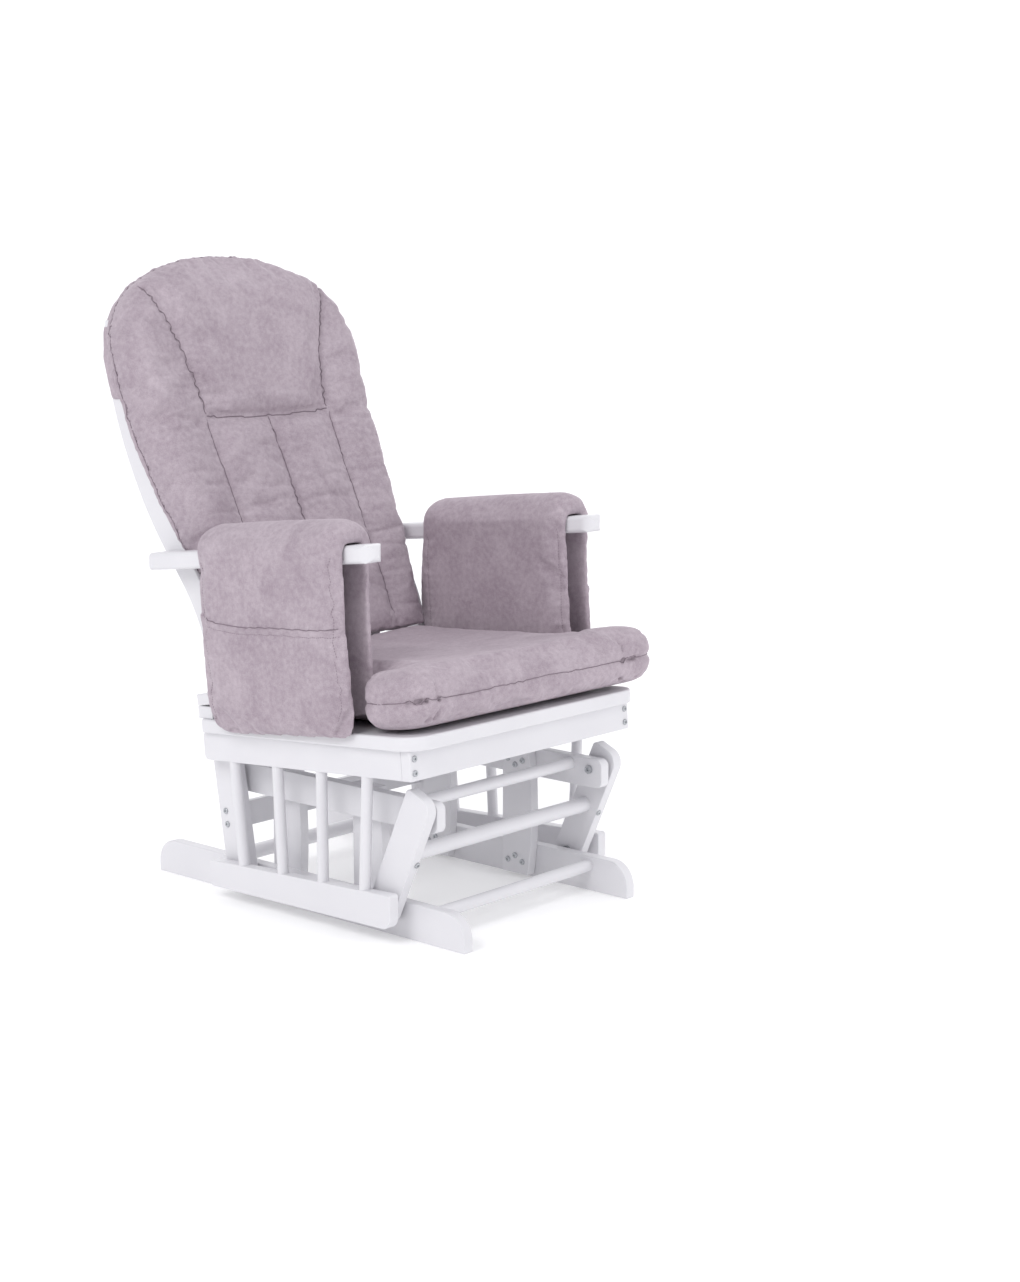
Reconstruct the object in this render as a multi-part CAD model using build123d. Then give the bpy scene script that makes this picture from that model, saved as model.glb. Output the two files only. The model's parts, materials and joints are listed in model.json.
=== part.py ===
from build123d import *
from math import atan2, cos, degrees, radians, sin, tan
import os

# Reclining glider nursery chair, in millimetres. +Z is up and the chair faces -Y.
# "left" and "right" are the sitter's left (+X) and right (-X). While the pieces are made, Y = 0 is
# the middle of the feet; at the end everything is moved so that the origin is the middle of the
# whole chair's footprint, on the floor.

# ---- boards and fits -------------------------------------------------------------------------
board = 19.0              # thickness of most of the boards
edge_round = 1.6          # rounding of the boards' edges
gap = 0.3                 # clearance between pieces that move past each other
running = 0.05            # radial clearance of a pin in its bushing

# ---- base ------------------------------------------------------------------------------------
foot_length = 708.0
foot_height = 58.0
foot_corner = 40.0        # radius of the feet's upper corners
base_half = 204.5         # outer face of the feet and base rails
rail_height = 48.0
rail_top = 223.0
rail_end = 26.0           # base rail past each upper pivot
upright_width = 57.0
upright_thick = 18.0
upright_lift = 6.0        # the uprights end this far above the floor
upright_bulge = 8.0       # crown of the uprights' front edge
upright_front_y = -127.0
upright_rear_y = 58.0
small_dowel = 20.0        # diameter of the upper dowel and the front foot dowel
big_dowel = 25.0          # diameter of the swing arms' dowel and the rear foot dowel
dowel_seat = 10.0         # how far a dowel enters the board that holds it
upper_dowel = (-232.0, 209.5)     # Y and Z of its middle
foot_dowel_y = (-272.0, 208.0)
foot_dowel_z = 42.0

# ---- swing arms ------------------------------------------------------------------------------
arm_length = 167.0        # between an arm's two pivots
arm_width = 55.0
arm_gap = 7.0             # base rail to swing arm
arm_end = 22.0            # swing arm past its lower pivot
arm_top_end = 34.0        # swing arm past its upper pivot
front_lean = 24.0         # degrees from vertical, top forward
rear_lean = 9.2           # degrees from vertical, top rearward
pivot_front_y = -273.0
pivot_rear_y = 148.0
pivot_z = 205.0
arm_dowel_drop = 75.0     # front arms' dowel below the upper pivot, along the arm
arm_stretcher_height = 40.0
arm_stretcher_drop = 72.0
arm_stretcher_offset = 12.0
bolt_radius = 4.0
bolt_head_radius = 7.0
bolt_head_height = 4.0
bearing_radius = 11.0
bearing_width = 7.0
open_pivot_play = 2.2     # radial play of the front lower bolts, which the coupled motion needs

# ---- seat ------------------------------------------------------------------------------------
seat_half = 258.0         # outer face of the aprons and lower rails
seat_tilt = 4.3           # degrees, front higher
seat_front_y = -312.0     # the deck's front top edge
seat_front_z = 335.0
deck_length = 480.0
deck_half = 268.0
deck_thick = 22.0
deck_corner = 40.0
apron_height = 46.0
apron_setback = 20.0      # front apron behind the deck's front edge
rear_apron_along = 385.0  # clear of the rear arms' tops as the seat swings
lower_rail_front = (-250.0, 27.5, 82.2)    # y, bottom and top
lower_rail_rear = (162.0, 21.3, 64.3)
lower_rail_nose = 18.0
spindle_radius = 9.0
spindle_count = 4
spindle_top_y = 106.0
spindle_top_pitch = 100.7
spindle_foot_y = 86.0
spindle_foot_pitch = 91.0
spindle_seat = 14.0       # how far a spindle enters its board
spacer_depth = 34.0
spacer_overhang = 9.0     # spacer behind the deck's rear edge
spacer_height = 20.0
spacer_half = 262.0

# ---- arms and arm pads -----------------------------------------------------------------------
bar_tilt = 6.3            # degrees, front higher
bar_inner = 236.5
bar_width = 40.0
bar_thick = 28.0
bar_front_y = -228.0
bar_rear_y = 272.0
bar_top_z = 590.0         # height of the bar's top at Y = 0
bar_nose = 19.0           # rounding of the nose seen from above
bar_tip = 11.0            # rounding of the nose seen from the side
bar_round = 7.0           # rounding of the bars' long edges
post_width = 45.0
post_y = (-118.0, 52.0)
pad_inner = 219.0
pad_outer = 300.0
pad_hem_outer = 287.0     # outer face of the outside flap at its hem
pad_thick = 15.0
pad_crown = 36.0          # padding on top of the bar
pad_lean = 4.5            # degrees, the pad's ends lean forward at the hem
pad_front_y = -186.0      # at the height of the bar's top
pad_rear_y = 128.0
pad_drop_outer = 290.0    # hem of the outside flap below the bar's top
pad_drop_inner = 262.0
pad_corner = 26.0         # rounding of the flaps' lower corners

# ---- back ------------------------------------------------------------------------------------
recline_rest = 5.5        # how far the back leans back from its stop on the spacer
recline_more = 3.0        # how much further back it can lean
hinge_radius = 4.0
hinge_length = 60.0
hinge_leaf = 14.0
hinge_x = 150.0
pin_radius = 1.5
leaf_thick = 1.5
back_side_inner = 216.5
back_board = 18.5
back_depth = 40.0         # front to rear of the side boards
back_rail_height = 18.0
# the rear edge of the side boards as it stands at rest, Y and Z
back_rear_edge = ((184.0, 330.0), (203.0, 451.0), (298.0, 581.0),
                  (376.0, 717.0), (405.0, 795.0), (420.0, 930.0))
slat_width = 50.0
slat_thick = 12.0
slat_setback = 8.0        # slats behind the side boards' front edges
slat_count = 3
slat_pitch = 105.0
top_rail_height = 70.0
lock_pin_radius = 4.0
lock_pin_y = 246.0
lock_pin_reach = 12.0     # how far the pin enters the arm bar
knob_radius = 14.0
knob_height = 11.0

# ---- cushions --------------------------------------------------------------------------------
seat_pad_thick = 92.0
seat_pad_lift = 3.0
seat_pad_half = 217.0     # between the arm pads
seat_pad_rear_half = 214.0
seat_pad_wing = 276.0     # in front of the arm pads
seat_pad_wing_length = 110.0
seat_pad_overhang = 8.0
seat_pad_rear_gap = 4.0
back_pad_bottom = 412.0
back_pad_top = 1038.0
back_pad_shoulder = 890.0
back_pad_half = 255.0
back_pad_arm_half = 232.0     # beside the arm bars
back_pad_arm_z = 572.0
back_pad_bottom_half = 206.0
# front face at the middle, Y and Z, from the bottom to the top of the headrest
back_pad_front = ((107.0, 412.0), (285.0, 768.0), (352.0, 985.0))
hood_hem = 800.0          # the cushion's hood covers the back's top down to here
hood_rear_y = 448.0

# ---- screws ----------------------------------------------------------------------------------
screw_radius = 2.5
screw_head_radius = 5.0
screw_head_height = 2.5
screw_length = 30.0


# ---- places worked out from the sizes ---------------------------------------------------------
def swing_end(y, z, lean, along):
    """A point on a swing arm's centre line, a distance below its upper pivot."""
    return (y + along * sin(radians(lean)), z - along * cos(radians(lean)))


def seat_point(along, up):
    """Y and Z of a point given along the deck from its front edge, and up from its top face."""
    tilt = radians(seat_tilt)
    y = seat_front_y + along * cos(tilt) + up * sin(tilt)
    return (y, seat_front_z - along * sin(tilt) + up * cos(tilt))


def deck_z(y, up=0.0):
    """The height at y of a face parallel to the deck's top."""
    return seat_front_z - (y - seat_front_y) * tan(radians(seat_tilt)) + up / cos(radians(seat_tilt))


def bar_z(y, up=0.0):
    """The height at y of a face parallel to the arm bars' top."""
    return bar_top_z - y * tan(radians(bar_tilt)) + up / cos(radians(bar_tilt))


def lower_rail_top(y):
    """The height of the tapered lower rail's top edge at y."""
    y0, _, z0 = lower_rail_front
    y1, _, z1 = lower_rail_rear
    return z0 + (y - y0) * (z1 - z0) / (y1 - y0)


front_pivot = (pivot_front_y, pivot_z)
rear_pivot = (pivot_rear_y, pivot_z)
front_foot = swing_end(pivot_front_y, pivot_z, front_lean, arm_length)
rear_foot = swing_end(pivot_rear_y, pivot_z, -rear_lean, arm_length)
base_inner = base_half - board
arm_inner = base_half + arm_gap
arm_outer = arm_inner + board
seat_inner = seat_half - board
bar_outer = bar_inner + bar_width
rail_middle = rail_top - rail_height / 2
spacer_rear = deck_length + spacer_overhang
hinge = seat_point(spacer_rear + hinge_radius + gap, spacer_height)
lock_pin = (lock_pin_y, bar_z(lock_pin_y, -bar_thick / 2))
back_outer = back_side_inner + back_board


# ---- small makers -----------------------------------------------------------------------------
def outline_of(points, rounds=None):
    """A closed outline from corner points, with a rounding for each corner that is named."""
    face = make_face(Polyline(*points, close=True))
    for index, radius in (rounds or {}).items():
        corner = face.vertices().sort_by_distance(Vector(*points[index]))[0]
        face = fillet(corner, radius)
    return face


def plate(outline, x0, x1):
    """A board whose outline lies in the YZ plane, from x0 to x1."""
    return Pos(x0, 0, 0) * extrude(Plane.YZ * outline, x1 - x0)


def soften(solid, radius=edge_round):
    """Round all the edges of a board a little."""
    return fillet(solid.edges(), radius)


def cross_rod(y, z, x0, x1, radius):
    """A round bar along X."""
    return Pos(x0, y, z) * extrude(Plane.YZ * Circle(radius), x1 - x0)


def ring(y, z, x0, x1, outer, inner):
    """A bearing, bushing or spacer round an axis along X."""
    return cross_rod(y, z, x0, x1, outer) - cross_rod(y, z, x0, x1, inner)


def rod_between(start, end, radius):
    """A round bar between two points."""
    way = Vector(*end) - Vector(*start)
    return extrude(Plane(origin=start, z_dir=way) * Circle(radius), way.length)


def hex_socket(seat, head_height, radius):
    """The hexagon hole in the head of a screw or bolt that sits on a plane."""
    return extrude(seat.offset(-head_height) * RegularPolygon(radius * 0.8, 6), head_height * 0.7)


def screw_along(point, direction, length=screw_length):
    """A screw whose low head sits on the surface at point; direction points into the wood."""
    seat = Plane(origin=point, z_dir=direction)
    shank = extrude(seat * Circle(screw_radius), length)
    head = extrude(seat * Circle(screw_head_radius), -screw_head_height)
    crown = head.edges().sort_by(Axis(point, direction))[0]
    head = fillet(crown, screw_head_height * 0.6)
    return head + shank - hex_socket(seat, screw_head_height, screw_radius)


def pivot_bolt(y, z, x0, x1):
    """A bolt along X with a low socket head inboard of x0 and a shank to x1."""
    seat = Plane(origin=(x0, y, z), z_dir=(1, 0, 0))
    head = extrude(seat * Circle(bolt_head_radius), -bolt_head_height)
    shank = extrude(seat * Circle(bolt_radius), x1 - x0)
    return head + shank - hex_socket(seat, bolt_head_height, bolt_radius)


def drill(solid, fixings):
    """Take the fixings' own shape out of the wood that they are driven into."""
    for fixing in fixings:
        solid = solid - fixing
    return solid


def mirrored(solid):
    return mirror(solid, about=Plane.YZ)


def both(solids):
    """Solids on the left and their mirror images on the right, as one list."""
    return list(solids) + [mirrored(solid) for solid in solids]


pieces = {}


def keep(name, *solids):
    """Keep a piece, or several separate like pieces that share one node."""
    pieces[name] = Compound(children=[s for solid in solids for s in solid.solids()])


def keep_pair(name, solid):
    """Keep a left piece and its mirror image on the right."""
    keep(name + "_left", solid)
    keep(name + "_right", mirrored(solid))


# ---- base -------------------------------------------------------------------------------------
def upright_outline(centre):
    """An upright's outline: straight at the rear, with a crowned front edge."""
    front = centre - upright_width / 2
    rear = centre + upright_width / 2
    low = upright_lift
    edges = Polyline((front, rail_top), (rear, rail_top), (rear, low), (front, low))
    crown = ThreePointArc((front, low), (front - upright_bulge, (low + rail_top) / 2), (front, rail_top))
    return make_face(edges.edges() + crown.edges())


def upright_screws(centre):
    """Three screws into the foot and three into the base rail, each set in a triangle."""
    screws = []
    for z, turn in ((foot_height / 2 + 3, 1), (rail_middle, -1)):
        for across, up in ((-16, -4), (0, 5), (16, -4)):
            spot = (base_inner - upright_thick, centre + across, z + turn * up)
            screws.append(screw_along(spot, (1, 0, 0)))
    return screws


def make_base():
    half = foot_length / 2
    corners = ((-half, 0), (half, 0), (half, foot_height), (-half, foot_height))
    foot = soften(plate(outline_of(corners, {2: foot_corner, 3: foot_corner}), base_inner, base_half))
    front = pivot_front_y - rail_end
    rear = pivot_rear_y + rail_end
    low = rail_top - rail_height
    corners = ((front, low), (rear, low), (rear, rail_top), (front, rail_top))
    rail = soften(plate(outline_of(corners, {0: 12, 1: 12, 2: 12, 3: 12}), base_inner, base_half))

    reach = base_inner + dowel_seat
    dowel = cross_rod(*upper_dowel, -reach, reach, small_dowel / 2)
    rail = rail - dowel
    keep("base_upper_dowel", dowel)
    for name, y, size in (("front", foot_dowel_y[0], small_dowel), ("rear", foot_dowel_y[1], big_dowel)):
        dowel = cross_rod(y, foot_dowel_z, -reach, reach, size / 2)
        foot = foot - dowel
        keep("foot_dowel_" + name, dowel)

    fixings = []
    for y, z in (front_pivot, rear_pivot):
        bolt = pivot_bolt(y, z, base_inner, arm_outer - 5)
        spacer = ring(y, z, base_half, arm_inner - gap, bolt_radius + 5, bolt_radius)
        fixings += [bolt, spacer]
        rail = rail - bolt
    keep("upper_pivot_fixings", *both(fixings))

    screws = []
    for name, centre in (("front", upright_front_y), ("rear", upright_rear_y)):
        own = upright_screws(centre)
        screws += own
        upright = soften(plate(upright_outline(centre), base_inner - upright_thick, base_inner))
        keep_pair("upright_" + name, drill(upright, own))
    keep("upright_screws", *both(screws))
    keep_pair("foot", drill(foot, screws))
    keep_pair("base_rail", drill(rail, screws))


# ---- swing arms -------------------------------------------------------------------------------
def arm_board(pivot, lean, rounds):
    """A swing arm before its holes: a slanted board round the line through its two pivots."""
    half = arm_width / 2
    turn = radians(lean)
    low = -arm_length - arm_end
    points = []
    for across, up in ((-half, arm_top_end), (half, arm_top_end), (half, low), (-half, low)):
        y = pivot[0] + across * cos(turn) - up * sin(turn)
        z = pivot[1] + across * sin(turn) + up * cos(turn)
        points.append((y, z))
    return soften(plate(outline_of(points, dict(enumerate(rounds))), arm_inner, arm_outer))


def swing_arm(name, pivot, foot_pivot, arm):
    """Bearings, lower bolt and spacer for a swing arm, and the arm's board drilled for them."""
    bearing = ring(*pivot, arm_inner, arm_inner + bearing_width, bearing_radius, bolt_radius + running)
    bolt = pivot_bolt(*foot_pivot, arm_inner, seat_half - 6)
    spacer = ring(*foot_pivot, arm_outer, seat_inner - gap, bolt_radius + 5, bolt_radius)
    keep(name + "_arm_bearings", *both([bearing]))
    arm = arm - cross_rod(*pivot, arm_inner, arm_inner + bearing_width, bearing_radius)
    arm = arm - cross_rod(*pivot, arm_inner, arm_outer - 4, bolt_radius + 1)
    return arm - bolt, [bolt, spacer]


def make_front_arms():
    arm = arm_board(front_pivot, front_lean, (24, 8, 18, 18))
    arm, fixings = swing_arm("front", front_pivot, front_foot, arm)
    dowel_y, dowel_z = swing_end(*front_pivot, front_lean, arm_dowel_drop)
    reach = arm_inner + dowel_seat
    dowel = cross_rod(dowel_y, dowel_z, -reach, reach, big_dowel / 2)
    turn = radians(front_lean)
    inward = (0, cos(turn), sin(turn))
    half = arm_width / 2
    edge = (arm_inner + dowel_seat / 2, dowel_y - half * cos(turn), dowel_z - half * sin(turn))
    screw = screw_along(edge, inward)
    keep("front_arm_dowel", drill(dowel, both([screw])))
    keep("front_arm_fixings", *both(fixings + [screw]))
    keep_pair("front_arm", drill(arm, [dowel, screw]))


def make_rear_arms():
    arm = arm_board(rear_pivot, -rear_lean, (8, 8, 18, 18))
    arm, fixings = swing_arm("rear", rear_pivot, rear_foot, arm)
    turn = radians(rear_lean)
    middle_y, middle_z = swing_end(*rear_pivot, -rear_lean, arm_stretcher_drop)
    place = Pos(0, middle_y + arm_stretcher_offset * cos(turn), middle_z - arm_stretcher_offset * sin(turn))
    place = place * Rot(-rear_lean, 0, 0)
    stretcher = soften(place * Box(2 * arm_inner, board, arm_stretcher_height))
    screws = []
    for up in (-11, 11):
        spot = place * Pos(arm_outer, 0, up)
        screws.append(screw_along(tuple(spot.position), (-1, 0, 0), length=board + 22))
    keep("rear_arm_stretcher", drill(stretcher, both(screws)))
    keep("rear_arm_fixings", *both(fixings + screws))
    keep_pair("rear_arm", drill(arm, screws))


# ---- seat -------------------------------------------------------------------------------------
def seat_outline(along0, along1, up0, up1, rounds=None):
    """An outline between two distances along the deck and two heights from its top face."""
    corners = ((along0, up0), (along1, up0), (along1, up1), (along0, up1))
    return outline_of([seat_point(along, up) for along, up in corners], rounds)


def seat_plane(along, up):
    """A plane parallel to the deck: its X to the sitter's left, its Y rearward."""
    y, z = seat_point(along, up)
    tilt = radians(seat_tilt)
    return Plane(origin=(0, y, z), x_dir=(1, 0, 0), z_dir=(0, sin(tilt), cos(tilt)))


def make_seat_frame():
    top = -deck_thick
    low = top - apron_height
    front = apron_setback
    rear = deck_length + 6
    side = soften(plate(seat_outline(front + board, rear, low, top, {1: 9, 2: 9}), seat_inner, seat_half))
    front_apron = soften(plate(seat_outline(front, front + board, low, top), -seat_half, seat_half))
    cross = seat_outline(rear_apron_along, rear_apron_along + board, low, top)
    keep("rear_apron", soften(plate(cross, -seat_inner, seat_inner)))

    y0, low0, top0 = lower_rail_front
    y1, low1, top1 = lower_rail_rear
    corners = ((y0, low0), (y1, low1), (y1, top1), (y0, top0))
    lower = soften(plate(outline_of(corners, {0: lower_rail_nose, 1: 8, 2: 6, 3: 5}), seat_inner, seat_half))
    bushings = []
    for (y, z), play in ((front_foot, open_pivot_play), (rear_foot, running)):
        bushings.append(ring(y, z, seat_inner, seat_half - 4, bearing_radius, bolt_radius + play))
        lower = lower - cross_rod(y, z, seat_inner, seat_half - 4, bearing_radius)
    keep("lower_bushings", *both(bushings))

    x = seat_half - board / 2
    for index in range(spindle_count):
        top_y = spindle_top_y - index * spindle_top_pitch
        foot_y = spindle_foot_y - index * spindle_foot_pitch
        foot = (x, foot_y, lower_rail_top(foot_y) - spindle_seat)
        spindle = rod_between(foot, (x, top_y, deck_z(top_y, low) + spindle_seat), spindle_radius)
        side = side - spindle
        lower = lower - spindle
        keep_pair("spindle_%d" % (index + 1), spindle)
    keep_pair("lower_rail", lower)

    tilt = radians(seat_tilt)
    screws = []
    for up in (top - 12, low + 12):
        spot = (x, *seat_point(front, up))
        screws.append(screw_along(spot, (0, cos(tilt), -sin(tilt)), length=board + 22))
    keep("front_apron", drill(front_apron, both(screws)))
    keep("front_apron_screws", *both(screws))
    keep_pair("side_apron", drill(side, screws))


def make_deck():
    plan = Pos(0, deck_length / 2) * Rectangle(2 * deck_half, deck_length)
    plan = fillet(plan.vertices().group_by(Axis.Y)[0], deck_corner)
    plan = fillet(plan.vertices().group_by(Axis.Y)[-1], 8)
    deck = extrude(seat_plane(0, -deck_thick) * plan, deck_thick)
    keep("seat_deck", soften(deck, 3))
    plan = Pos(0, spacer_rear - spacer_depth / 2) * Rectangle(2 * spacer_half, spacer_depth)
    keep("rear_spacer", soften(extrude(seat_plane(0, 0) * plan, spacer_height)))


# ---- arms and arm pads ------------------------------------------------------------------------
def lock_slot():
    """The space in an arm bar that the back's lock pin travels through."""
    radius = Vector(lock_pin[0] - hinge[0], lock_pin[1] - hinge[1])
    forward = radius.length * sin(radians(recline_rest)) + lock_pin_radius + 1
    rearward = radius.length * sin(radians(recline_more)) + lock_pin_radius + 1
    slope = degrees(atan2(radius.X, radius.Y))
    place = Pos(bar_inner, *lock_pin) * Rot(-slope, 0, 0) * Pos(0, (rearward - forward) / 2, 0)
    return place * Box(2 * (lock_pin_reach + 1), forward + rearward, 2 * lock_pin_radius + 4)


def make_arms():
    """Each arm: a bar with a rounded nose on two posts."""
    length = bar_rear_y - bar_front_y
    corners = ((bar_front_y, bar_z(bar_front_y, -bar_thick)), (bar_rear_y, bar_z(bar_rear_y, -bar_thick)),
               (bar_rear_y, bar_z(bar_rear_y)), (bar_front_y, bar_z(bar_front_y)))
    bar = plate(outline_of(corners), bar_inner, bar_outer)
    bar = fillet([edge for edge in bar.edges() if edge.length > 0.9 * length], bar_round)
    nose = {0: bar_tip, 3: bar_tip}
    bar = bar & plate(outline_of(corners, nose), bar_inner, bar_outer)
    plan = Pos((bar_inner + bar_outer) / 2, (bar_front_y + bar_rear_y) / 2) * Rectangle(bar_width, length)
    plan = fillet(plan.vertices().group_by(Axis.Y)[0], bar_nose)
    bar = bar & extrude(plan, 2 * bar_top_z)
    keep_pair("arm_bar", bar - lock_slot())
    middle = (bar_inner + bar_outer) / 2
    for name, y in (("front", post_y[0]), ("rear", post_y[1])):
        front = y - post_width / 2
        rear = y + post_width / 2
        corners = ((front, deck_z(front)), (rear, deck_z(rear)),
                   (rear, bar_z(rear, -bar_thick)), (front, bar_z(front, -bar_thick)))
        post = plate(outline_of(corners), middle - board / 2, middle + board / 2)
        keep_pair("arm_post_" + name, soften(post))


def make_arm_pads():
    """A padded cover over each arm: an outside flap, a thick top and an inside flap."""
    crown = pad_crown - gap
    section = ((pad_inner, -pad_drop_inner), (pad_inner, crown), (pad_outer, crown),
               (pad_hem_outer, -pad_drop_outer), (pad_hem_outer - pad_thick, -pad_drop_outer),
               (bar_outer + gap, -bar_thick), (bar_outer + gap, gap), (bar_inner - gap, gap),
               (bar_inner - gap, -bar_thick), (pad_inner + pad_thick, -pad_drop_inner))
    tilt = radians(bar_tilt)
    far = bar_rear_y - bar_front_y
    across = Plane(origin=(0, far, bar_z(far)), x_dir=(1, 0, 0), z_dir=(0, -cos(tilt), sin(tilt)))
    run = extrude(across * outline_of(section, {1: 30, 2: 30}), 2 * far)
    lean = tan(radians(pad_lean))
    high = pad_crown * 2
    deep = -pad_drop_outer - bar_thick
    corners = []
    for y, up in ((pad_front_y, high), (pad_front_y, deep), (pad_rear_y, deep), (pad_rear_y, high)):
        corners.append((y + up * lean, bar_z(y, up)))
    pad = run & plate(outline_of(corners), pad_inner - 1, pad_outer + 1)
    keep_pair("arm_pad", pad)


# ---- back -------------------------------------------------------------------------------------
def lean_back(solid):
    """Turn what is drawn closed on the spacer to the back's rest position."""
    return Pos(0, *hinge) * Rot(-recline_rest, 0, 0) * Pos(0, -hinge[0], -hinge[1]) * solid


def back_curve(offset):
    """The side boards' rear edge moved forward by an offset, as points from bottom to top."""
    edge = Spline(*back_rear_edge)
    points = []
    for step in range(9):
        tangent = edge.tangent_at(step / 8)
        points.append(edge.position_at(step / 8) + Vector(-tangent.Y, tangent.X) * offset)
    return points


def back_outline(near, far):
    """An outline that follows the back's curve between two distances from its rear edge."""
    rear = Spline(*back_curve(near))
    front = Spline(*back_curve(far))
    ends = Line(rear @ 0, front @ 0).edges() + Line(rear @ 1, front @ 1).edges()
    return make_face(rear.edges() + front.edges() + ends)


def make_back_frame():
    plan = Pos(0, spacer_rear - spacer_depth / 2) * Rectangle(2 * spacer_half, spacer_depth)
    rail = extrude(seat_plane(0, spacer_height + gap) * plan, back_rail_height)
    keep("back_lower_rail", lean_back(soften(rail)))

    rail_top_up = spacer_height + gap + back_rail_height
    above = extrude(seat_plane(0, rail_top_up) * Rectangle(4 * deck_half, 4 * deck_length), 2 * back_pad_top)
    above = lean_back(above)
    side = plate(back_outline(0, back_depth), back_side_inner, back_outer) & above
    side = soften(side)
    side = side - cross_rod(*lock_pin, back_side_inner, back_outer, lock_pin_radius)
    keep_pair("back_side", side)

    far = back_depth - slat_setback
    near = far - slat_thick
    top = back_rear_edge[-1][1]
    rail_z = top - top_rail_height / 2 - 6
    band = Pos(0, back_rear_edge[-1][0], rail_z)
    band = band * Box(2 * back_side_inner, 4 * back_depth, top_rail_height)
    rail = plate(back_outline(near - 6, far), -back_side_inner, back_side_inner) & band
    keep("back_top_rail", soften(rail))
    under = rail_z - top_rail_height / 2
    below = Pos(0, 0, under / 2) * Box(2 * deck_half, 4 * deck_length, under)
    slats = []
    for index in range(slat_count):
        x = (index - (slat_count - 1) / 2) * slat_pitch
        slat = plate(back_outline(near, far), x - slat_width / 2, x + slat_width / 2) & above & below
        slats.append(soften(slat))
    keep("back_slats", *slats)

    knob = cross_rod(*lock_pin, back_side_inner - knob_height, back_side_inner, knob_radius)
    knob = fillet(knob.edges().sort_by(Axis.X)[0], 3)
    pin = cross_rod(*lock_pin, back_side_inner, bar_inner + lock_pin_reach, lock_pin_radius)
    keep("recline_lock_pins", *both([knob + pin]))


def leaf_plate(up0, up1, x0, x1):
    """A flat of sheet steel against the spacer's rear face, or in line with it."""
    return plate(seat_outline(spacer_rear, spacer_rear + leaf_thick, up0, up1), x0, x1)


def make_hinges():
    """Two butt hinges behind the spacer and the back's lower rail."""
    x0 = hinge_x - hinge_length / 2
    x1 = hinge_x + hinge_length / 2
    third = hinge_length / 3
    axis_up = spacer_height
    clear = hinge_radius + 0.5
    leaf = leaf_plate(axis_up - clear - hinge_leaf, axis_up - clear, x0, x1)
    for start in (x0, x0 + 2 * third):
        leaf = leaf + leaf_plate(axis_up - clear - 1, axis_up, start, start + third)
        leaf = leaf + cross_rod(*hinge, start, start + third, hinge_radius)
    leaf = leaf - cross_rod(*hinge, x0, x1, pin_radius)
    start = x0 + third + gap
    end = x1 - third - gap
    back_leaf = leaf_plate(axis_up + clear, axis_up + clear + hinge_leaf - 2, x0, x1)
    back_leaf = back_leaf + leaf_plate(axis_up, axis_up + clear + 1, start, end)
    back_leaf = back_leaf + cross_rod(*hinge, start, end, hinge_radius)
    back_leaf = back_leaf - cross_rod(*hinge, x0, x1, pin_radius + running)
    pin = cross_rod(*hinge, x0, x1, pin_radius)
    keep("hinge_leaves_seat", *both([leaf, pin]))
    keep("hinge_leaves_back", *both([lean_back(back_leaf)]))


# ---- cushions ---------------------------------------------------------------------------------
def make_seat_cushion():
    front = -seat_pad_overhang
    wing_end = front + seat_pad_wing_length
    rear = spacer_rear - spacer_depth - seat_pad_rear_gap
    wings = Pos(0, (front + wing_end) / 2) * Rectangle(2 * seat_pad_wing, seat_pad_wing_length)
    wings = fillet(wings.vertices().group_by(Axis.Y)[0], 60)
    wings = fillet(wings.vertices().group_by(Axis.Y)[-1], 18)
    middle = Pos(0, (front + rear) / 2) * Rectangle(2 * seat_pad_half, rear - front - 2)
    rear_part = Pos(0, rear - 60) * Rectangle(2 * seat_pad_half, 120)
    side_cut = 2 * (seat_pad_half - seat_pad_rear_half)
    rear_part = rear_part - Pos(0, rear - 60) * Rectangle(2 * seat_pad_half - side_cut, 120)
    plan = wings + middle - rear_part
    cushion = extrude(seat_plane(0, seat_pad_lift) * plan, seat_pad_thick)
    keep("seat_cushion", cushion)


def make_back_cushion():
    """A slab that thickens towards the headrest, with a hood over the top of the back frame."""
    front_edge = [p - Vector(1, 0) for p in back_curve(back_depth) if back_pad_bottom < p.Y < hood_hem - 20]
    low, waist, brow = back_pad_front
    crown = (hood_rear_y + brow[0]) / 2
    outline = [low, waist, brow, (crown, back_pad_top), (hood_rear_y - 12, brow[1]),
               (hood_rear_y, back_rear_edge[-1][1]), (back_rear_edge[-2][0] + 12, hood_hem),
               (front_edge[-1].X + 12, hood_hem)]
    outline += [(p.X, p.Y) for p in reversed(front_edge)]
    outline.append((front_edge[0].X - 10, low[1]))
    slab = plate(outline_of(outline), -back_pad_half, back_pad_half)
    half = back_pad_half
    corners = [(half, back_pad_shoulder), (back_pad_arm_half, back_pad_arm_z)]
    corners.append((back_pad_bottom_half, back_pad_bottom))
    sides = Polyline(*corners, *[(-x, z) for x, z in reversed(corners)])
    rise = back_pad_top - back_pad_shoulder
    arch = EllipticalCenterArc((0, back_pad_shoulder), half, rise, start_angle=0, arc_size=180)
    shape = make_face(sides.edges() + arch.edges())
    prism = extrude(Plane.XZ * shape, 2 * hood_rear_y, both=True)
    keep("back_cushion", slab & prism)


make_base()
make_front_arms()
make_rear_arms()
make_seat_frame()
make_deck()
make_arms()
make_arm_pads()
make_back_frame()
make_hinges()
make_seat_cushion()
make_back_cushion()

whole = Compound(list(pieces.values())).bounding_box()
middle_y = (whole.min.Y + whole.max.Y) / 2
os.makedirs("parts", exist_ok=True)
for name, piece in pieces.items():
    export_step(Pos(0, -middle_y, 0) * piece, "parts/" + name + ".step")

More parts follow.
